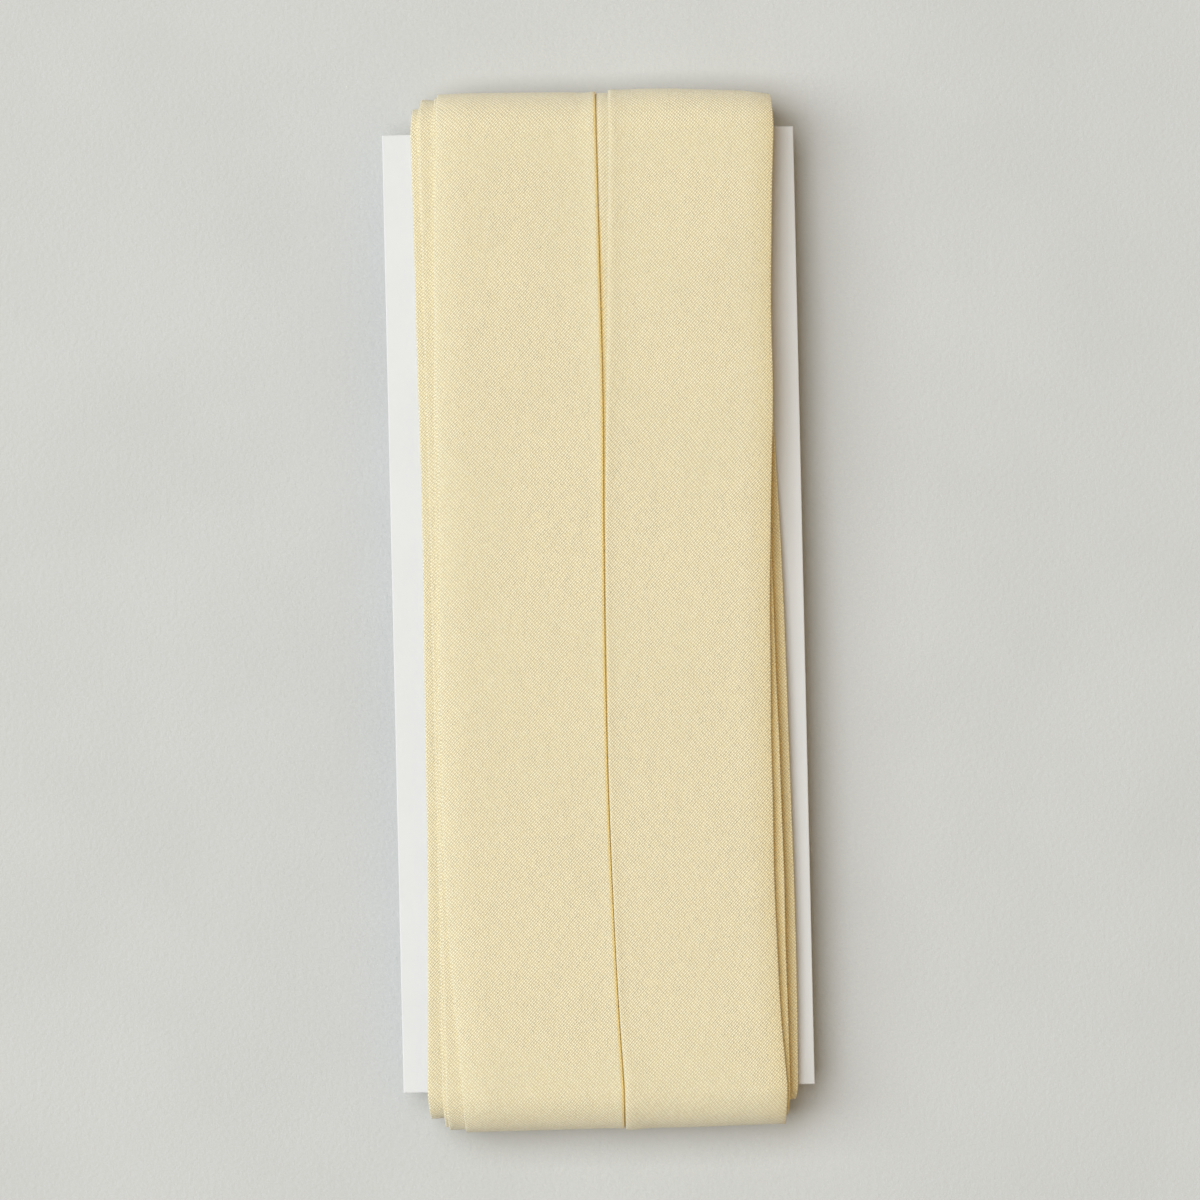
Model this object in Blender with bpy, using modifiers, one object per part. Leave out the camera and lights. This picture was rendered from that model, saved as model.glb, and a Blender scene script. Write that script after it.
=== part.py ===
"""Roll of bias binding: folded cotton tape wound flat, lengthways, round a white card.

The tape is a bias-cut strip with both long edges folded in to meet along its middle.
Each turn is therefore two cloths thick, and the outermost one shows the slit between
its two flaps.  The winding is one closed ring round the card, which sticks out of it
on both long sides.  No two turns lie quite over one another, so every turn shows at
the sides of the ring as a thin step.

Frame: metres, +Z up.  The origin is under the middle of the card, on the surface that
the winding lies on.  X runs across the card, and Y along it towards the top end.
"""
import math
from collections import namedtuple

import bmesh
import bpy

OBJECT_NAME = "bias_binding"
MM = 0.001

# The card
CARD_WIDTH = 49.8 * MM
CARD_LENGTH = 116.0 * MM
CARD_THICKNESS = 0.6 * MM
CARD_EDGE_ROUND = 0.12 * MM

# The tape and its turns
TAPE_WIDTH = 40.0 * MM
TURN_PITCH = 0.36 * MM          # two cloths, pressed
CLOTH_THICKNESS = 0.18 * MM
CLEARANCE = 0.3 * MM            # between the card and the first turn
STEP_RISE = 0.08 * MM           # height over which a side steps from one turn to the next
EDGE_DROP = 0.3 * MM            # how far the winding sinks at its sides, on the front
EDGE_DROP_WIDTH = 3.5 * MM
FOLD_ROUND = 0.12 * MM          # rounding of the outer turn's folds
HIDDEN_SLIT_WIDTH = 0.2 * MM    # the slit where the flaps meet tightly, on the back
RAMP_START = 50.0 * MM          # past here, on the back, each turn moves over to the next

# The ring's divisions
FRONT_DIVISIONS = 16
BACK_DIVISIONS = 6
RAMP_DIVISIONS = 2
END_DIVISIONS = 8

# Where the tape's middle lies, in mm to the right of the card's middle, on the front of
# each covered turn, from the first turn out
Drift = namedtuple("Drift", "top middle bottom")
COVERED_TURNS = (
    Drift(top=0.6, middle=1.0, bottom=1.4),
    Drift(top=0.8, middle=1.5, bottom=2.0),
    Drift(top=0.9, middle=2.0, bottom=2.7),
    Drift(top=0.9, middle=2.3, bottom=3.3),
    Drift(top=0.4, middle=1.2, bottom=1.8),
    Drift(top=-0.4, middle=0.2, bottom=0.0),
    Drift(top=-1.3, middle=-0.8, bottom=-1.8),
    Drift(top=-0.6, middle=0.2, bottom=0.2),
    Drift(top=0.3, middle=1.0, bottom=2.3),
    Drift(top=-0.4, middle=-0.1, bottom=-0.1),
    Drift(top=1.4, middle=1.0, bottom=0.7),
)

# The outermost turn on the front, in mm: its two folds and the edges of its two flaps
OuterSection = namedtuple("OuterSection", "y left left_flap right_flap right")
OUTER_TURN = (
    OuterSection(y=-57.7, left=-17.7, left_flap=1.75, right_flap=1.95, right=21.5),
    OuterSection(y=-47.0, left=-18.4, left_flap=1.25, right_flap=1.45, right=20.8),
    OuterSection(y=-33.0, left=-19.0, left_flap=0.85, right_flap=1.05, right=20.4),
    OuterSection(y=-20.0, left=-19.2, left_flap=0.65, right_flap=0.85, right=20.4),
    OuterSection(y=-5.0, left=-19.2, left_flap=0.7, right_flap=0.9, right=20.6),
    OuterSection(y=10.0, left=-19.2, left_flap=0.85, right_flap=1.1, right=20.9),
    OuterSection(y=25.0, left=-19.1, left_flap=1.1, right_flap=1.55, right=21.5),
    OuterSection(y=40.0, left=-18.9, left_flap=1.25, right_flap=2.15, right=21.8),
    OuterSection(y=57.7, left=-18.3, left_flap=1.2, right_flap=2.7, right=22.4),
)

TURNS = len(COVERED_TURNS) + 1
END_RADIUS = CARD_THICKNESS / 2 + CLEARANCE
RUN_HALF = CARD_LENGTH / 2 - CARD_THICKNESS / 2
WINDING_DEPTH = TURNS * TURN_PITCH
MIDDLE_HEIGHT = END_RADIUS + WINDING_DEPTH

# A place along the ring: the middle of its curve, and the way that its depth points
Station = namedtuple("Station", "y outward_y outward_z")


def clear_scene():
    """Remove what the scene holds."""
    for old in list(bpy.data.objects):
        bpy.data.objects.remove(old, do_unlink=True)


def principled(name, colour, roughness):
    """A plain non-metallic material."""
    material = bpy.data.materials.new(name)
    material.use_nodes = True
    shader = material.node_tree.nodes["Principled BSDF"]
    shader.inputs["Base Color"].default_value = (*colour, 1.0)
    shader.inputs["Roughness"].default_value = roughness
    shader.inputs["Metallic"].default_value = 0.0
    return material


def blend(start, end, share):
    """The value that lies a share of the way from start to end."""
    return start + (end - start) * share


def slope(rows, index, column):
    """Slope of a column at one row, from the rows on either side of it."""
    before = rows[max(index - 1, 0)]
    after = rows[min(index + 1, len(rows) - 1)]
    return (getattr(after, column) - getattr(before, column)) / (after.y - before.y)


def read_smoothly(rows, y, column):
    """Value of a column between two rows, on a smooth curve through all of them."""
    y = min(max(y, rows[0].y), rows[-1].y)
    index = 0
    while index < len(rows) - 2 and y > rows[index + 1].y:
        index += 1
    low, high = rows[index], rows[index + 1]
    length = high.y - low.y
    t = (y - low.y) / length
    start, end = getattr(low, column), getattr(high, column)
    start_rise = slope(rows, index, column) * length
    end_rise = slope(rows, index + 1, column) * length
    return (start * (2 * t ** 3 - 3 * t ** 2 + 1) + end * (3 * t ** 2 - 2 * t ** 3)
            + start_rise * (t ** 3 - 2 * t ** 2 + t) + end_rise * (t ** 3 - t ** 2))


def front_middle(turn, y):
    """Middle of a covered turn on the front, on a parabola through its three places."""
    drift = COVERED_TURNS[turn]
    t = y / RUN_HALF
    bow = (drift.top + drift.bottom) / 2 - drift.middle
    return (drift.middle + (drift.top - drift.bottom) / 2 * t + bow * t ** 2) * MM


def top_middle(turn):
    """Middle of any turn at its top end."""
    if turn < len(COVERED_TURNS):
        return front_middle(turn, RUN_HALF)
    return (OUTER_TURN[-1].left + OUTER_TURN[-1].right) / 2 * MM


def run_share(station):
    """How far up the back run a station lies, from 0 to 1."""
    return (station.y + RUN_HALF) / (2 * RUN_HALF)


def ramp_share(station):
    """How far along the ramp at the top of the back run a station lies, from 0 to 1."""
    return max(0.0, station.y - RAMP_START) / (RUN_HALF - RAMP_START)


def covered_edges(turn, station):
    """Left and right folds of a covered turn at a station of the ring."""
    if station.outward_z > 0:
        middle = front_middle(turn, station.y)
    else:
        # The back pass leads from this turn's bottom end to the next turn's top end
        bottom = front_middle(turn, -RUN_HALF)
        middle = blend(bottom, top_middle(turn + 1), run_share(station))
        middle = blend(middle, top_middle(turn), ramp_share(station))
    return middle - TAPE_WIDTH / 2, middle + TAPE_WIDTH / 2


def outer_value(station, column):
    """A column of the outermost turn's table at a station, on the front or the back."""
    if station.outward_z > 0:
        return read_smoothly(OUTER_TURN, station.y / MM, column) * MM
    bottom = getattr(OUTER_TURN[0], column) * MM
    top = getattr(OUTER_TURN[-1], column) * MM
    return blend(bottom, top, run_share(station))


def slit_edges(station):
    """Edges of the two flaps, which meet tightly on the back as far as the ramp."""
    left_flap = outer_value(station, "left_flap")
    right_flap = outer_value(station, "right_flap")
    if station.outward_z <= 0:
        right_flap = blend(left_flap + HIDDEN_SLIT_WIDTH, right_flap, ramp_share(station))
    return left_flap, right_flap


def sunken(station, depth):
    """A depth of winding at its sides, where it is pressed a little on the front."""
    drop = EDGE_DROP * max(0.0, station.outward_z)
    return depth * (1 - drop / WINDING_DEPTH)


def side_steps(station, side):
    """Points of one side of the section, (x, depth), from the card outwards."""
    points = []
    for turn in range(len(COVERED_TURNS)):
        x = covered_edges(turn, station)[side]
        inner_rise = 0.0 if turn == 0 else STEP_RISE / 2
        points.append((x, sunken(station, turn * TURN_PITCH + inner_rise)))
        points.append((x, sunken(station, (turn + 1) * TURN_PITCH - STEP_RISE / 2)))
    return points


def outer_face(station):
    """Points of the outermost turn, (x, depth), from its left fold to its right one."""
    left = outer_value(station, "left")
    right = outer_value(station, "right")
    left_flap, right_flap = slit_edges(station)
    face = WINDING_DEPTH
    floor = face - CLOTH_THICKNESS
    start = sunken(station, face - TURN_PITCH + STEP_RISE / 2)
    rounding = sunken(station, face - FOLD_ROUND)
    edge = sunken(station, face)
    return [
        (left, start),
        (left, rounding),
        (left + FOLD_ROUND, edge),
        (left + EDGE_DROP_WIDTH, face),
        (left_flap, face),
        (left_flap, floor),
        (right_flap, floor),
        (right_flap, face),
        (right - EDGE_DROP_WIDTH, face),
        (right - FOLD_ROUND, edge),
        (right, rounding),
        (right, start),
    ]


def section(station):
    """The ring's whole section at a station, (x, depth), once round."""
    left_side = side_steps(station, 0)
    right_side = side_steps(station, 1)
    return left_side + outer_face(station) + right_side[::-1]


def run_places(start, end, divisions):
    """Evenly spaced places from start up to, but not at, end."""
    return [blend(start, end, step / divisions) for step in range(divisions)]


def ring_stations():
    """Places round the ring: the front run, the bottom end, the back run, the top end."""
    stations = []
    for y in run_places(RUN_HALF, -RUN_HALF, FRONT_DIVISIONS):
        stations.append(Station(y, 0.0, 1.0))
    for angle in run_places(0.0, math.pi, END_DIVISIONS):
        stations.append(Station(-RUN_HALF, -math.sin(angle), math.cos(angle)))
    for y in run_places(-RUN_HALF, RAMP_START, BACK_DIVISIONS):
        stations.append(Station(y, 0.0, -1.0))
    for y in run_places(RAMP_START, RUN_HALF, RAMP_DIVISIONS):
        stations.append(Station(y, 0.0, -1.0))
    for angle in run_places(math.pi, 2 * math.pi, END_DIVISIONS):
        stations.append(Station(RUN_HALF, -math.sin(angle), math.cos(angle)))
    return stations


def place(station, x, depth):
    """The point in the object's frame at a depth of winding over the card."""
    reach = END_RADIUS + depth
    y = station.y + station.outward_y * reach
    z = MIDDLE_HEIGHT + station.outward_z * reach
    return x, y, z


def make_binding(collection):
    """The winding: one ring lofted through the sections at all its stations."""
    mesh = bpy.data.meshes.new("binding")
    bm = bmesh.new()
    loops = []
    for station in ring_stations():
        corners = section(station)
        loops.append([bm.verts.new(place(station, x, depth)) for x, depth in corners])
    for index, loop in enumerate(loops):
        following = loops[(index + 1) % len(loops)]
        for corner in range(len(loop)):
            beside = (corner + 1) % len(loop)
            bm.faces.new((loop[corner], loop[beside], following[beside], following[corner]))
    bmesh.ops.recalc_face_normals(bm, faces=bm.faces)
    bm.to_mesh(mesh)
    bm.free()
    mesh.materials.append(principled("pale_yellow_cotton", (0.78, 0.68, 0.42), 0.85))
    binding = bpy.data.objects.new("binding", mesh)
    collection.objects.link(binding)
    return binding


def make_card(collection):
    """The card: a thin plate with slightly eased edges, through the ring's middle."""
    mesh = bpy.data.meshes.new("card")
    bm = bmesh.new()
    bmesh.ops.create_cube(bm, size=1.0)
    bmesh.ops.scale(bm, vec=(CARD_WIDTH, CARD_LENGTH, CARD_THICKNESS), verts=bm.verts)
    bm.to_mesh(mesh)
    bm.free()
    mesh.materials.append(principled("white_card", (0.82, 0.82, 0.81), 0.6))
    card = bpy.data.objects.new("card", mesh)
    card.location = (0.0, 0.0, MIDDLE_HEIGHT)
    easing = card.modifiers.new("eased_edges", "BEVEL")
    easing.width = CARD_EDGE_ROUND
    easing.segments = 2
    collection.objects.link(card)
    return card


def main():
    clear_scene()
    collection = bpy.data.collections.new(OBJECT_NAME)
    bpy.context.scene.collection.children.link(collection)
    make_card(collection)
    make_binding(collection)


main()
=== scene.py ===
"""Looks of the roll of bias binding: the tape, turn by turn, on its white card.

The tape is one long strip of cotton, cut on the bias, with both long edges folded in to
meet along its middle.  It is wound flat in twelve turns, with the folded-in flaps
outwards.  Everything is in metres, in the frame of the solids: X across the card, Y along
it to the top end, +Z up.
"""
import math
from collections import namedtuple

import bpy
import numpy as np
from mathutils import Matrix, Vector


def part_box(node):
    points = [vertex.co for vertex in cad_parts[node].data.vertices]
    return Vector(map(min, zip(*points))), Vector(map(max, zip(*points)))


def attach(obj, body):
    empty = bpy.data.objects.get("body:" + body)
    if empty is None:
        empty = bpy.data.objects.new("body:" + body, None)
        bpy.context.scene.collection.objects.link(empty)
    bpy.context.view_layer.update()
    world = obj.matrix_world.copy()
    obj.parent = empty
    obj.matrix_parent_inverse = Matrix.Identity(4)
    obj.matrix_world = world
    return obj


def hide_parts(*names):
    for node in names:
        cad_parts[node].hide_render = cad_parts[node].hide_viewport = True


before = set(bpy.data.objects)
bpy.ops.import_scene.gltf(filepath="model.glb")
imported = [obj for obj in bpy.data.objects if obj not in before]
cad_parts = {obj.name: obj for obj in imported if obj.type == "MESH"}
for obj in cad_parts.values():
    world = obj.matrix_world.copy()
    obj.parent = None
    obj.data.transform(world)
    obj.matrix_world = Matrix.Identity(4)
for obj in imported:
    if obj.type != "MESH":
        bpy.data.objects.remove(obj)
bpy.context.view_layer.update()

MM = 0.001

# The card and the winding
CARD_THICKNESS = 0.6 * MM
CLEARANCE = 0.3 * MM            # between the card and the first turn
TURN_PITCH = 0.36 * MM          # two cloths, pressed
TAPE_WIDTH = 40.0 * MM
EDGE_DROP = 0.5 * MM            # how far the winding sinks at its sides, on the front
EDGE_DROP_WIDTH = 3.5 * MM
Dent = namedtuple("Dent", "x y width length drop")
DENT = Dent(x=19.0 * MM, y=-53.3 * MM, width=1.3 * MM, length=2.4 * MM, drop=0.14 * MM)
RAMP_START = 50.0 * MM          # past here, on the back, each turn climbs onto the next

# The cloth
CLOTH_THICKNESS = 0.165 * MM
LAYER_SLACK = 0.005 * MM        # air on either side of a turn
TIGHT_SLIT = 0.16 * MM          # between the flaps where they meet
END_GAP = 0.4 * MM              # before the ramp, where the outer end lies on the back
GAP_BULGE = 0.1                 # of the cloth between the flaps, as a share of their gap
# Painted shade, deeper and orange, in the slit, along the cut edge and beside the turns above
SLIT_SHADE = 0.36 * MM          # how far the painted shade of the slit reaches
CUT_SHADE = 0.45                # the same from the left flap's cut edge, in mm of cloth
SIDE_SHADE = 0.8 * MM           # the same beside the edge of the turn above
RIGHT_SHADE_SHARE = 0.85        # how strong it is there, against the slit
LEFT_SHADE_SHARE = 0.04
OUTER_SHADE_SHARE = 0.24        # along the right side of the outermost turn

# Where the tape's middle lies, in mm to the right of the card's middle, on the front of
# each covered turn, from the first turn out.  A few differ a little from the solid, to
# follow the edges that show.
Drift = namedtuple("Drift", "top middle bottom")
COVERED_TURNS = (
    Drift(top=0.6, middle=1.0, bottom=1.4),
    Drift(top=0.8, middle=1.5, bottom=2.0),
    Drift(top=0.9, middle=2.0, bottom=2.7),
    Drift(top=0.1, middle=2.4, bottom=2.9),
    Drift(top=0.4, middle=1.2, bottom=1.8),
    Drift(top=-0.4, middle=0.2, bottom=0.0),
    Drift(top=-1.45, middle=-1.1, bottom=-1.85),
    Drift(top=-0.6, middle=0.2, bottom=0.2),
    Drift(top=-0.1, middle=1.2, bottom=1.9),
    Drift(top=-0.4, middle=-0.1, bottom=-0.1),
    Drift(top=1.4, middle=0.45, bottom=0.3),
)

# The outermost turn on the front, in mm, from the bottom end to the top end.  The place of
# a row is its Y, and then come the two folds and the edges of the two flaps.
OuterSection = namedtuple("OuterSection", "place left left_flap right_flap right")
OUTER_TURN = (
    OuterSection(place=-57.7, left=-17.7, left_flap=1.75, right_flap=1.95, right=21.5),
    OuterSection(place=-47.0, left=-18.4, left_flap=1.28, right_flap=1.42, right=20.9),
    OuterSection(place=-33.0, left=-19.2, left_flap=0.88, right_flap=1.02, right=20.5),
    OuterSection(place=-20.0, left=-19.4, left_flap=0.66, right_flap=0.84, right=20.5),
    OuterSection(place=-5.0, left=-19.25, left_flap=0.68, right_flap=0.92, right=20.7),
    OuterSection(place=10.0, left=-18.95, left_flap=0.85, right_flap=1.1, right=21.0),
    OuterSection(place=25.0, left=-19.0, left_flap=1.1, right_flap=1.55, right=21.6),
    OuterSection(place=40.0, left=-18.9, left_flap=1.07, right_flap=2.05, right=21.8),
    OuterSection(place=57.7, left=-18.3, left_flap=1.0, right_flap=2.6, right=22.4),
)

# How far the flaps of the outermost turn lift beside the slit, in mm, and a place for each
# flap.  With the cut edge's lift below, it is highest at 0.7 of that place from its edge.
Lip = namedtuple("Lip", "left left_place right right_place")
RUN_LIP = Lip(left=0.08, left_place=0.35, right=0.12, right_place=0.25)
TOP_LIP = Lip(left=0.18, left_place=0.45, right=0.20, right_place=0.5)
BOTTOM_LIP = Lip(left=0.06, left_place=0.6, right=0.26, right_place=0.9)
TOP_LIP_START = 2 * MM          # the lips rise from here towards the top end
TOP_LIP_LENGTH = 40 * MM
BOTTOM_LIP_LENGTH = 9 * MM      # and over this much before the bottom end
CUT_EDGE_LIFT = 0.3             # where a cut edge lies on the lip's own curve, up to 1

# Slack of the winding round its two ends, in mm: how much farther the outermost turn
# reaches, at places across the card from left to right
EndSlack = namedtuple("EndSlack", "place slack")
TOP_SLACK = (
    EndSlack(-22.0, 0.5), EndSlack(-19.5, 0.35), EndSlack(-18.0, 0.2), EndSlack(-15.0, 0.27),
    EndSlack(-8.0, 0.2), EndSlack(-2.0, 0.1), EndSlack(0.3, -0.07), EndSlack(2.7, 0.1),
    EndSlack(6.2, 0.34), EndSlack(13.0, 0.22), EndSlack(17.5, 0.0), EndSlack(19.0, -0.2),
    EndSlack(20.4, -0.38), EndSlack(22.4, -0.7),
)
BOTTOM_SLACK = (
    EndSlack(-22.0, 0.7), EndSlack(-20.6, 0.6), EndSlack(-19.6, 0.4), EndSlack(-15.0, 0.3),
    EndSlack(-5.0, 0.25), EndSlack(1.0, 0.2), EndSlack(8.0, 0.28), EndSlack(13.0, 0.36),
    EndSlack(19.0, 0.15), EndSlack(24.0, 0.2),
)
CORNER_TUCK = 0.25 * MM         # how far the folds draw in where they turn round an end

# Two waves that a fold wanders by along the tape, each shifted by its phase from fold to fold
Wave = namedtuple("Wave", "height length phase")
WANDER = (
    Wave(height=0.05 * MM, length=7.0 * MM, phase=2.1),
    Wave(height=0.025 * MM, length=2.7 * MM, phase=5.3),
)

TURNS = len(COVERED_TURNS) + 1
CARD_LOW, CARD_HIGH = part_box("card")
END_RADIUS = CARD_THICKNESS / 2 + CLEARANCE
RUN_HALF = CARD_HIGH.y - CARD_THICKNESS / 2
WINDING_DEPTH = TURNS * TURN_PITCH
MIDDLE_HEIGHT = (CARD_LOW.z + CARD_HIGH.z) / 2
TOP_HEIGHT = MIDDLE_HEIGHT + END_RADIUS + WINDING_DEPTH

# Divisions along each pass of the tape: (covered turn, outermost turn)
FRONT_STEPS = (14, 72)
END_STEPS = (12, 24)
BACK_STEPS = (6, 16)
RAMP_STEPS = 3

# Places across a flap, from its cut edge and from its fold, in mm
FROM_SLIT = (0.0, 0.07, 0.16, 0.3, 0.5, 0.8, 1.2, 1.8, 2.8, 4.5, 7.5)
FROM_FOLD = (3.6, 2.4, 1.2, 0.5)
FOLD_STEPS = 6

# Places across the cloth under the slit, as shares of the gap between the flaps
UNDER_SLIT = (-0.3, 0.0, 0.15, 0.35, 0.65, 1.0, 1.3)
BESIDE_SLIT = 3 * MM            # the next places to either side of them
BULGE_LEAN = 0.6                # below 1, the bulge there leans to the left

# A place along the tape.  depth is the winding under it, and the four values after it are
# the places across of its folds and of its flaps' edges.
Station = namedtuple(
    "Station",
    "y outward_y outward_z depth left left_flap right_flap right turn travelled",
)


def blend(start, end, share):
    """The value that lies a share of the way from start to end."""
    return start + (end - start) * share


def ease(share):
    """A share from 0 to 1, with a soft start and end."""
    share = min(max(share, 0.0), 1.0)
    return share * share * (3 - 2 * share)


def nearness(distance, reach):
    """1 at an edge, falling to 0 at the given reach from it, steepest at the edge."""
    return (1 - min(max(distance / reach, 0.0), 1.0)) ** 2


def slope(rows, index, column):
    """Slope of a column over the rows' places at one row, from its neighbours."""
    before = rows[max(index - 1, 0)]
    after = rows[min(index + 1, len(rows) - 1)]
    return (getattr(after, column) - getattr(before, column)) / (after.place - before.place)


def read_smoothly(rows, place, column):
    """Value of a column at a place between two rows, on a smooth curve through them all."""
    place = min(max(place, rows[0].place), rows[-1].place)
    index = 0
    while index < len(rows) - 2 and place > rows[index + 1].place:
        index += 1
    low, high = rows[index], rows[index + 1]
    length = high.place - low.place
    t = (place - low.place) / length
    start, end = getattr(low, column), getattr(high, column)
    start_rise = slope(rows, index, column) * length
    end_rise = slope(rows, index + 1, column) * length
    return (start * (2 * t ** 3 - 3 * t ** 2 + 1) + end * (3 * t ** 2 - 2 * t ** 3)
            + start_rise * (t ** 3 - 2 * t ** 2 + t) + end_rise * (t ** 3 - t ** 2))


def wander(y, seed):
    """A small sideways wander of a fold along the tape, the same each run."""
    return sum(wave.height * math.sin(y / wave.length + wave.phase * seed) for wave in WANDER)


def front_edges(turn, y):
    """(left fold, left flap's edge, right flap's edge, right fold) on the front."""
    if turn == TURNS - 1:
        values = [read_smoothly(OUTER_TURN, y / MM, column) * MM
                  for column in ("left", "left_flap", "right_flap", "right")]
    else:
        drift = COVERED_TURNS[turn]
        t = y / RUN_HALF
        bow = (drift.top + drift.bottom) / 2 - drift.middle
        middle = (drift.middle + (drift.top - drift.bottom) / 2 * t + bow * t ** 2) * MM
        values = [middle - TAPE_WIDTH / 2, middle - TIGHT_SLIT / 2,
                  middle + TIGHT_SLIT / 2, middle + TAPE_WIDTH / 2]
    values[0] += wander(y, turn)
    values[3] += wander(y, turn + 0.5)
    return values


def tucked(edges, angle):
    """The edges of a turn where it goes round an end, with its two folds drawn in."""
    tuck = CORNER_TUCK * math.sin(angle) ** 2
    return [edges[0] + tuck, edges[1], edges[2], edges[3] - tuck]


def back_edges(bottom_edges, following, y):
    """The edges of a turn on the back, on its way to where the following turn starts."""
    share = (y + RUN_HALF) / (2 * RUN_HALF)
    return [blend(a, b, share) for a, b in zip(bottom_edges, following)]


def tape_stations():
    """Every place along the tape, from its inner end to its outer end on the back."""
    places = []

    def add(turn, y, angle, depth, edges):
        places.append((turn, y, -math.sin(angle), math.cos(angle), depth, edges))

    top_edges = [front_edges(turn, RUN_HALF) for turn in range(TURNS)]
    for step in range(RAMP_STEPS):
        y = blend(RAMP_START, RUN_HALF, step / RAMP_STEPS)
        add(0, y, math.pi, 0.0, top_edges[0])
    for turn in range(TURNS):
        kind = 1 if turn == TURNS - 1 else 0
        depth = turn * TURN_PITCH
        for step in range(END_STEPS[kind]):
            angle = math.pi * (1 + step / END_STEPS[kind])
            add(turn, RUN_HALF, angle, depth, tucked(top_edges[turn], angle))
        for step in range(FRONT_STEPS[kind]):
            y = blend(RUN_HALF, -RUN_HALF, step / FRONT_STEPS[kind])
            add(turn, y, 0.0, depth, front_edges(turn, y))
        bottom_edges = front_edges(turn, -RUN_HALF)
        for step in range(END_STEPS[kind]):
            angle = math.pi * step / END_STEPS[kind]
            add(turn, -RUN_HALF, angle, depth, tucked(bottom_edges, angle))
        following = top_edges[min(turn + 1, TURNS - 1)]
        last_y = RAMP_START if turn < TURNS - 1 else RAMP_START - END_GAP
        last_step = BACK_STEPS[kind] + (1 if turn == TURNS - 1 else 0)
        for step in range(last_step):
            y = blend(-RUN_HALF, last_y, step / BACK_STEPS[kind])
            edges = back_edges(bottom_edges, following, y)
            middle = (edges[1] + edges[2]) / 2
            edges[1] = middle - TIGHT_SLIT / 2
            edges[2] = middle + TIGHT_SLIT / 2
            add(turn, y, math.pi, depth, edges)
        if turn < TURNS - 1:
            for step in range(RAMP_STEPS):
                climb = step / RAMP_STEPS
                y = blend(RAMP_START, RUN_HALF, climb)
                edges = back_edges(bottom_edges, following, y)
                add(turn, y, math.pi, depth + TURN_PITCH * ease(climb), edges)

    stations = []
    travelled = 0.0
    before = None
    for turn, y, outward_y, outward_z, depth, edges in places:
        reach = END_RADIUS + depth + TURN_PITCH / 2
        here = Vector((y + outward_y * reach, outward_z * reach))
        if before is not None:
            travelled += (here - before).length
        before = here
        stations.append(Station(y, outward_y, outward_z, depth, *edges, turn, travelled))
    return stations


def lip_at(station):
    """The lips beside the slit, on the outermost turn, fading out round its ends."""
    if station.y > 0:
        share = ease((station.y - TOP_LIP_START) / TOP_LIP_LENGTH)
        end_lip = TOP_LIP
    else:
        share = ease((BOTTOM_LIP_LENGTH - RUN_HALF - station.y) / BOTTOM_LIP_LENGTH)
        end_lip = BOTTOM_LIP
    lip = Lip(*(blend(a, b, share) for a, b in zip(RUN_LIP, end_lip)))
    shown = 0.0
    if station.turn == TURNS - 1:
        shown = min(1.0, max(0.0, 1 + station.outward_z))
    return Lip(lip.left * shown, lip.left_place, lip.right * shown, lip.right_place)


def lifted(distance, height, place):
    """Lift of a flap at a distance from its cut edge, both in metres."""
    share = CUT_EDGE_LIFT + distance / (place * MM)
    return height * MM * share * math.exp(1 - share)


def section(station):
    """The folded cloth's middle line across the tape: (across, height, cut place, shade).

    It runs from the left flap's cut edge over the left fold, along the backing, over the
    right fold and back to the right flap's cut edge.  Heights are above the turn's own
    floor, and the cut place is the distance along the unfolded cloth.  Shade is the share
    of painted shade, 1 at the bottom of the slit and 0 away from it.
    """
    half = CLOTH_THICKNESS / 2
    backing = LAYER_SLACK + half
    flap = TURN_PITCH - LAYER_SLACK - half
    radius = (flap - backing) / 2
    left_centre = station.left + half + radius
    right_centre = station.right - half - radius
    lip = lip_at(station)
    points = []
    for offset in FROM_SLIT:
        height = flap + lifted(offset * MM, lip.left, lip.left_place)
        points.append((station.left_flap - offset * MM, height))
    for offset in FROM_FOLD:
        points.append((left_centre + offset * MM, flap))
    for step in range(FOLD_STEPS + 1):
        angle = math.pi * step / FOLD_STEPS
        across = left_centre - radius * math.sin(angle)
        points.append((across, backing + radius * (1 + math.cos(angle))))
    for offset in FROM_FOLD[::-1]:
        points.append((left_centre + offset * MM, backing))
    gap = station.right_flap - station.left_flap
    bulge = GAP_BULGE * max(0.0, gap - TIGHT_SLIT)
    points.append((station.left_flap - BESIDE_SLIT, backing))
    for share in UNDER_SLIT:
        rise = bulge * math.sin(math.pi * min(max(share, 0.0), 1.0) ** BULGE_LEAN)
        points.append((station.left_flap + gap * share, backing + rise))
    points.append((station.right_flap + BESIDE_SLIT, backing))
    for offset in FROM_FOLD:
        points.append((right_centre - offset * MM, backing))
    for step in range(FOLD_STEPS + 1):
        angle = math.pi * step / FOLD_STEPS
        across = right_centre + radius * math.sin(angle)
        points.append((across, backing + radius * (1 - math.cos(angle))))
    for offset in FROM_FOLD[::-1]:
        points.append((right_centre - offset * MM, flap))
    for offset in FROM_SLIT[::-1]:
        height = flap + lifted(offset * MM, lip.right, lip.right_place)
        points.append((station.right_flap + offset * MM, height))
    cut_place = 0.0
    placed = []
    for index, (across, height) in enumerate(points):
        if index:
            last = points[index - 1]
            cut_place += math.hypot(across - last[0], height - last[1])
        # The backing beside the left flap's cut edge gets painted shade, deepest in the slit
        beside = (across - station.left_flap) / SLIT_SHADE
        painted_shade_share = math.exp(-beside * beside) if height < (backing + flap) / 2 else 0.0
        placed.append((across, height, cut_place, painted_shade_share))
    return placed


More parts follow.
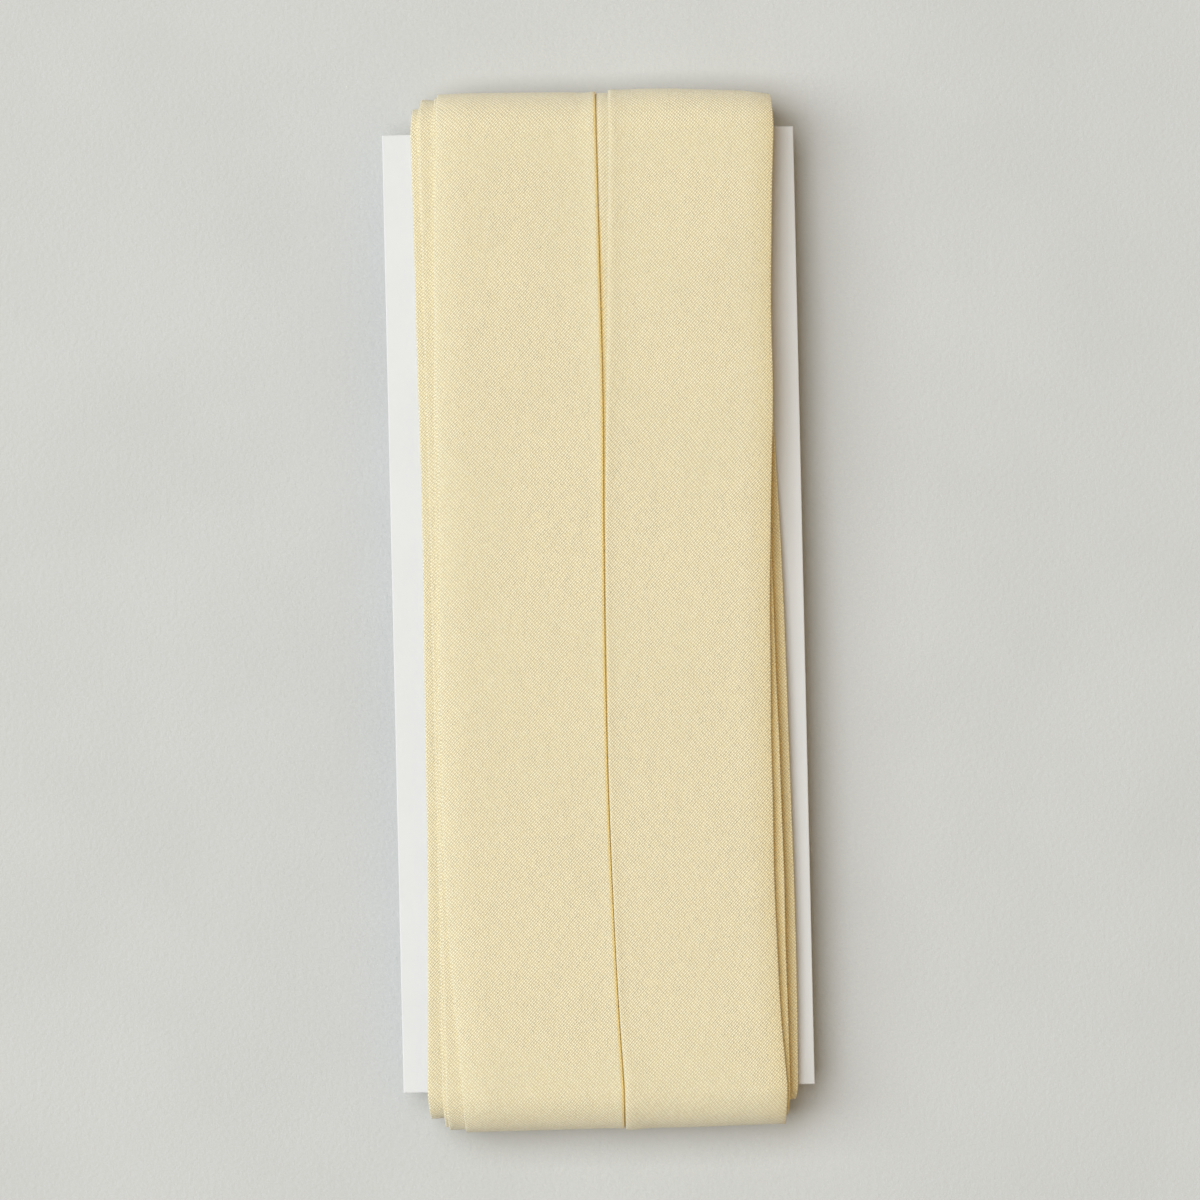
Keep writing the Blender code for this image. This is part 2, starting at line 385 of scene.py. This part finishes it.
def painted_side_shade(turn, y, across):
    """Painted shade beside the turns over it, or by the outer turn's right fold, 0 to 1."""
    if turn == TURNS - 1:
        inside = front_edges(turn, y)[3] - across
        return OUTER_SHADE_SHARE * nearness(inside, EDGE_DROP_WIDTH)
    above = [front_edges(other, y) for other in range(turn + 1, TURNS)]
    left = min(edges[0] for edges in above)
    right = max(edges[3] for edges in above)
    from_right = RIGHT_SHADE_SHARE * math.exp(-max(across - right, 0.0) / SIDE_SHADE)
    from_left = LEFT_SHADE_SHARE * math.exp(-max(left - across, 0.0) / SIDE_SHADE)
    return max(from_right, from_left) if across > 0 else from_left


def sunken(station, across, depth, outer_left, outer_right):
    """Depth of a point of the winding, pressed a little towards the sides, on the front.

    One soft dent near the bottom right corner is pressed in as well.
    """
    inside = min(across - outer_left, outer_right - across)
    side = nearness(inside, EDGE_DROP_WIDTH)
    beside = math.hypot((across - DENT.x) / DENT.width, (station.y - DENT.y) / DENT.length)
    drop = EDGE_DROP * side + DENT.drop * math.exp(-beside * beside)
    return depth * (1 - max(0.0, station.outward_z) * drop / WINDING_DEPTH)


def make_tape():
    """The whole tape, as one folded sheet of real length."""
    stations = tape_stations()
    verts = []
    places = []
    colouring = []
    for station in stations:
        front_y = station.y if station.outward_z > 0 else -RUN_HALF
        outer_left, _, _, outer_right = front_edges(TURNS - 1, front_y)
        for across, height, cut_place, painted_shade_share in section(station):
            depth = sunken(station, across, station.depth + height, outer_left, outer_right)
            reach = END_RADIUS + depth
            slack_rows = TOP_SLACK if station.outward_y > 0 else BOTTOM_SLACK
            slack = read_smoothly(slack_rows, across / MM, "slack") * MM * depth / WINDING_DEPTH
            y = station.y + station.outward_y * (reach + slack)
            z = MIDDLE_HEIGHT + station.outward_z * reach
            verts.append((across, y, z))
            places.append((cut_place / MM, station.travelled / MM))
            # Painted shade of the slit, or beside the turns over this point
            painted_shade_share = max(painted_shade_share, painted_side_shade(station.turn, front_y, across))
            colouring.append((cut_place / MM, painted_shade_share))
    columns = len(verts) // len(stations)
    faces = []
    for row in range(len(stations) - 1):
        for column in range(columns - 1):
            a = row * columns + column
            faces.append((a, a + 1, a + columns + 1, a + columns))
    mesh = bpy.data.meshes.new("tape")
    mesh.from_pydata(verts, [], faces)
    corner_verts = np.zeros(len(mesh.loops), dtype=np.int32)
    mesh.loops.foreach_get("vertex_index", corner_verts)
    for name, values in (("cloth", places), ("colouring", colouring)):
        layer = mesh.uv_layers.new(name=name)
        layer.data.foreach_set("uv", np.array(values, dtype=np.float32)[corner_verts].ravel())
    tape = bpy.data.objects.new("tape", mesh)
    bpy.context.scene.collection.objects.link(tape)
    thick = tape.modifiers.new("cloth", "SOLIDIFY")
    thick.thickness = CLOTH_THICKNESS
    thick.offset = 0.0
    thick.use_even_offset = True
    mesh.shade_smooth()
    return tape


class Nodes:
    """Short ways to add shader nodes and link them."""

    def __init__(self, name):
        self.material = bpy.data.materials.new(name)
        self.material.use_nodes = True
        self.tree = self.material.node_tree
        self.shader = self.tree.nodes["Principled BSDF"]

    def add(self, kind, **settings):
        node = self.tree.nodes.new(kind)
        for key, value in settings.items():
            setattr(node, key, value)
        return node

    def link(self, value, socket):
        if isinstance(value, (int, float, tuple)):
            socket.default_value = value
        else:
            self.tree.links.new(value, socket)

    def math(self, operation, first, second=0.0, third=0.0):
        node = self.add("ShaderNodeMath", operation=operation)
        for value, socket in zip((first, second, third), node.inputs):
            self.link(value, socket)
        return node.outputs[0]

    def pair(self, x, y, z=0.0):
        node = self.add("ShaderNodeCombineXYZ")
        for value, socket in zip((x, y, z), node.inputs):
            self.link(value, socket)
        return node.outputs[0]

    def noise(self, vector, scale, detail=2.0, roughness=0.5):
        node = self.add("ShaderNodeTexNoise", noise_dimensions="3D")
        self.link(vector, node.inputs["Vector"])
        node.inputs["Scale"].default_value = scale
        node.inputs["Detail"].default_value = detail
        node.inputs["Roughness"].default_value = roughness
        return node.outputs["Fac"]

    def ramp(self, value, low, high, to_low=0.0, to_high=1.0):
        node = self.add("ShaderNodeMapRange", interpolation_type="SMOOTHSTEP")
        for item, socket in zip((value, low, high, to_low, to_high), node.inputs):
            self.link(item, socket)
        return node.outputs[0]

    def mix(self, share, first, second, blend_type="MIX"):
        node = self.add("ShaderNodeMix", data_type="RGBA", blend_type=blend_type)
        self.link(share, node.inputs["Factor"])
        self.link(first, node.inputs["A"])
        self.link(second, node.inputs["B"])
        return node.outputs["Result"]

    def bump(self, height, distance):
        node = self.add("ShaderNodeBump")
        node.inputs["Strength"].default_value = 1.0
        node.inputs["Distance"].default_value = distance
        self.link(height, node.inputs["Height"])
        return node.outputs["Normal"]

    def finish(self, colour, normal, roughness, specular, sheen=0.0):
        self.link(colour, self.shader.inputs["Base Color"])
        self.link(normal, self.shader.inputs["Normal"])
        self.shader.inputs["Roughness"].default_value = roughness
        self.shader.inputs["Sheen Weight"].default_value = sheen
        self.shader.inputs["Sheen Roughness"].default_value = 0.5
        self.shader.inputs["Specular IOR Level"].default_value = specular
        return self.material


# The plain weave on the bias, in threads for each mm of the unfolded cloth, across the cut
# and along it
Threads = namedtuple("Threads", "across along")
WARP = Threads(across=3.11, along=-2.74)
WEFT = Threads(across=2.07, along=2.01)
# Top where the threads arch up and deep in the hollows between: partly painted shade
CLOTH_TOP = (1.0, 0.905, 0.635, 1.0)
CLOTH_DEEP = (0.65, 0.518, 0.262, 1.0)
CLOTH_NEP = (0.42, 0.33, 0.17, 1.0)
# Painted shade in the slit, in the creases beside the turns above and by the outer right fold
PAINTED_SHADE_TOP = (1.0, 0.74, 0.25, 1.0)        # painted shade, orange as if lit through other cloth
PAINTED_SHADE_DEEP = (0.84, 0.54, 0.13, 1.0)
WEAVE_HEIGHT = 0.08 * MM
SWAY = 0.9                      # how far the threads wander from side to side, in threads
ARCH = 0.55                     # below 1, the arches of the threads are broad and full
NEP_CELLS = 0.07                # for each mm of cloth, and few of them have a nep
NEP_SHARE = 0.5

# How much these count in the height of the weave and in its lightness: the warp on top,
# thick and thin stretches, and each crossing's own chance
Weave = namedtuple("Weave", "warp_over uneven odd")
RELIEF = Weave(warp_over=0.18, uneven=0.25, odd=0.7)
# In the lightness, the warp on top is painted light, as its threads catch the lamp
LIGHTNESS = Weave(warp_over=0.12, uneven=0.08, odd=0.26)
LOWEST_CROSSING = 0.65          # the share of its height that the lowest crossing keeps
# Painted shade of the weave: the arches of the threads lighter, the hollows deeper
ARCH_LIGHTNESS = 0.76
GRAIN_LIGHTNESS = 0.04


def cotton():
    """Pale yellow poplin: plain weave, uneven threads, a few neps, painted light and shade.

    Its coordinates are mm of the unfolded cloth, so a noise scale is in cells for each mm.
    """
    n = Nodes("pale_yellow_poplin")
    uv = n.add("ShaderNodeUVMap", uv_map="cloth").outputs["UV"]
    split = n.add("ShaderNodeSeparateXYZ")
    n.link(uv, split.inputs[0])
    across, along = split.outputs[0], split.outputs[1]

    def count(threads):
        first = n.math("MULTIPLY", across, threads.across)
        return n.math("MULTIPLY_ADD", along, threads.along, first)

    sway = n.math("MULTIPLY_ADD", n.noise(uv, 0.35), SWAY, -SWAY / 2)
    warp = n.math("ADD", count(WARP), sway)
    weft = n.math("ADD", count(WEFT), sway)
    warp_wave = n.math("SINE", n.math("MULTIPLY", warp, math.pi))
    weft_wave = n.math("SINE", n.math("MULTIPLY", weft, math.pi))
    crossing = n.math("MULTIPLY", warp_wave, weft_wave)
    arch = n.math("POWER", n.math("ABSOLUTE", crossing), ARCH)
    warp_over = n.ramp(crossing, -0.25, 0.25)

    # Threads that are thicker or thinner over a stretch, along both systems
    warp_slub = n.noise(n.pair(warp, n.math("MULTIPLY", weft, 0.22)), 0.95, 1.0)
    weft_slub = n.noise(n.pair(weft, n.math("MULTIPLY", warp, 0.16), 7.0), 0.95, 1.0)
    slubs = n.math("MULTIPLY", n.math("ADD", warp_slub, weft_slub), 0.5)
    uneven = n.ramp(slubs, 0.34, 0.66)

    # Each crossing of two threads stands a little higher or lower than its neighbours
    cell = n.pair(n.math("FLOOR", warp), n.math("FLOOR", weft))
    chance = n.add("ShaderNodeTexWhiteNoise", noise_dimensions="2D")
    n.link(cell, chance.inputs["Vector"])
    odd = chance.outputs["Value"]

    height = n.math("MULTIPLY_ADD", warp_over, RELIEF.warp_over, arch)
    height = n.math("MULTIPLY_ADD", uneven, RELIEF.uneven, height)
    standing = n.math("MULTIPLY_ADD", odd, RELIEF.odd, LOWEST_CROSSING)
    height = n.math("MULTIPLY", height, standing)

    # Lightness: painted light and shade of arches and warp, real stretches, crossings, grain
    light = n.math("MULTIPLY", uneven, LIGHTNESS.uneven)
    light = n.math("MULTIPLY_ADD", arch, ARCH_LIGHTNESS, light)
    light = n.math("MULTIPLY_ADD", warp_over, LIGHTNESS.warp_over, light)
    light = n.math("MULTIPLY_ADD", odd, LIGHTNESS.odd, light)
    grain = n.ramp(n.noise(uv, 2.6, 1.0), 0.35, 0.65)
    light = n.math("MULTIPLY_ADD", grain, GRAIN_LIGHTNESS, light)
    light = n.math("MINIMUM", light, 1.0)
    colour = n.mix(light, CLOTH_DEEP, CLOTH_TOP)
    cloudy = n.ramp(n.noise(uv, 0.06, 3.0), 0.35, 0.65, 0.99, 1.005)
    tint = n.add("ShaderNodeCombineColor")
    for socket in tint.inputs:
        n.link(cloudy, socket)
    colour = n.mix(1.0, colour, tint.outputs[0], "MULTIPLY")
    speck = n.add("ShaderNodeTexVoronoi", feature="F1")
    n.link(uv, speck.inputs["Vector"])
    speck.inputs["Scale"].default_value = NEP_CELLS
    nep = n.ramp(speck.outputs["Distance"], 0.008, 0.016, 1.0, 0.0)
    colour = n.mix(n.math("MULTIPLY", nep, NEP_SHARE), colour, CLOTH_NEP)
    # Painted shade, deeper and orange, in the slit and creases and by the outer right fold
    painted_shade_marks = n.add("ShaderNodeSeparateXYZ")
    n.link(n.add("ShaderNodeUVMap", uv_map="colouring").outputs["UV"], painted_shade_marks.inputs[0])
    cut_edge_shade = n.ramp(painted_shade_marks.outputs[0], 0.0, CUT_SHADE, 1.0, 0.0)
    painted_shade = n.math("MAXIMUM", cut_edge_shade, painted_shade_marks.outputs[1])
    colour = n.mix(painted_shade, colour, n.mix(light, PAINTED_SHADE_DEEP, PAINTED_SHADE_TOP))
    normal = n.bump(height, WEAVE_HEIGHT)
    return n.finish(colour, normal, roughness=0.82, sheen=0.55, specular=0.25)


CARD_COLOURS = ((0.75, 0.745, 0.737, 1.0), (0.765, 0.758, 0.75, 1.0))
CARD_TOOTH = 0.012 * MM
PAPER_COLOURS = ((0.603, 0.602, 0.585, 1.0), (0.623, 0.622, 0.606, 1.0))
PAPER_TOOTH = 0.10 * MM


def card_board():
    """Smooth white card with a faint tooth."""
    n = Nodes("white_card_board")
    place = n.add("ShaderNodeTexCoord").outputs["Object"]
    fibres = n.noise(place, 2600.0, 3.0, 0.6)
    clouds = n.ramp(n.noise(place, 140.0, 3.0), 0.3, 0.7)
    colour = n.mix(clouds, *CARD_COLOURS)
    return n.finish(colour, n.bump(fibres, CARD_TOOTH), roughness=0.5, specular=0.35)


def table_paper():
    """The pale grey sheet that it lies on, with a fine tooth."""
    n = Nodes("pale_grey_paper")
    place = n.add("ShaderNodeTexCoord").outputs["Object"]
    tooth = n.noise(place, 1500.0, 4.0, 0.7)
    clouds = n.ramp(n.noise(place, 45.0, 3.0), 0.3, 0.7)
    colour = n.mix(clouds, *PAPER_COLOURS)
    return n.finish(colour, n.bump(tooth, PAPER_TOOTH), roughness=0.75, specular=0.3)


def use_material(piece, material):
    """Put one material on every slot of a piece."""
    if not piece.material_slots:
        piece.data.materials.append(material)
    for slot in piece.material_slots:
        slot.material = material


# The camera looks straight down.  The picture is 144.6 mm wide at the top of the winding.
PICTURE_WIDTH = 144.6 * MM
CAMERA_AIM = Vector((0.23 * MM, 1.16 * MM))
CAMERA_TURN = math.radians(-1.3)
CAMERA_DISTANCE = 1.0
SENSOR_WIDTH = 36.0             # of the camera, in its own mm


def make_camera():
    """The camera over the object, turned as the photograph is."""
    data = bpy.data.cameras.new("camera")
    data.sensor_width = SENSOR_WIDTH
    data.lens = SENSOR_WIDTH * CAMERA_DISTANCE / PICTURE_WIDTH
    data.clip_start = 0.01
    data.clip_end = 20.0
    camera = bpy.data.objects.new("camera", data)
    camera.location = (CAMERA_AIM.x, CAMERA_AIM.y, TOP_HEIGHT + CAMERA_DISTANCE)
    camera.rotation_euler = (0.0, 0.0, CAMERA_TURN)
    bpy.context.scene.collection.objects.link(camera)
    bpy.context.scene.camera = camera


# A wide soft panel overhead, all to the left and a little towards the top end, and a fill
# from all round that is brighter and warmer from the right
PANEL_HEIGHT = 3.5
PANEL_SIZE = (7.2, 4.2)
PANEL_PLACE = (-3.6, 0.6)
PANEL_POWER = 343.0
PANEL_COLOUR = (0.93, 0.972, 1.0)
FILL_COLOUR = (0.8, 0.8, 0.78, 1.0)
WARM_COLOUR = (2.3, 1.75, 1.0, 1.0)    # of what is reflected from the right
FILL_STRENGTH = 0.175
WARM_FROM = 0.4                 # how far to the right it is fully warm, up to 1


def make_lights():
    """The soft panel, and a world that is warmer and brighter to the right."""
    data = bpy.data.lights.new("panel", "AREA")
    data.shape = "RECTANGLE"
    data.size, data.size_y = PANEL_SIZE
    data.energy = PANEL_POWER
    data.color = PANEL_COLOUR
    panel = bpy.data.objects.new("panel", data)
    panel.location = (*PANEL_PLACE, PANEL_HEIGHT)
    bpy.context.scene.collection.objects.link(panel)
    world = bpy.data.worlds.new("room")
    world.use_nodes = True
    tree = world.node_tree
    background = tree.nodes["Background"]
    split = tree.nodes.new("ShaderNodeSeparateXYZ")
    warmth = tree.nodes.new("ShaderNodeMapRange")
    warmth.inputs["From Min"].default_value = 0.0
    warmth.inputs["From Max"].default_value = WARM_FROM
    mixed = tree.nodes.new("ShaderNodeMix")
    mixed.data_type = "RGBA"
    mixed.inputs["A"].default_value = FILL_COLOUR
    mixed.inputs["B"].default_value = WARM_COLOUR
    place = tree.nodes.new("ShaderNodeTexCoord")
    tree.links.new(place.outputs["Generated"], split.inputs[0])
    tree.links.new(split.outputs["X"], warmth.inputs["Value"])
    tree.links.new(warmth.outputs["Result"], mixed.inputs["Factor"])
    tree.links.new(mixed.outputs["Result"], background.inputs["Color"])
    background.inputs["Strength"].default_value = FILL_STRENGTH
    bpy.context.scene.world = world


FLOOR_HALF = 1.6
FLOOR_GAP = 0.02 * MM           # under the winding, so that the two don't flicker


def make_floor():
    """A large flat floor under the winding, which is stage and no part of the object."""
    mesh = bpy.data.meshes.new("floor")
    corners = [(x * FLOOR_HALF, y * FLOOR_HALF, 0.0)
               for x, y in ((-1, -1), (1, -1), (1, 1), (-1, 1))]
    mesh.from_pydata(corners, [], [(0, 1, 2, 3)])
    floor = bpy.data.objects.new("floor", mesh)
    floor.location.z = -FLOOR_GAP
    bpy.context.scene.collection.objects.link(floor)
    use_material(floor, table_paper())


bpy.context.scene.view_settings.view_transform = "Standard"
make_camera()
make_lights()
make_floor()

tape = make_tape()
use_material(tape, cotton())
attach(tape, "root")
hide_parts("binding")

use_material(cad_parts["card"], card_board())
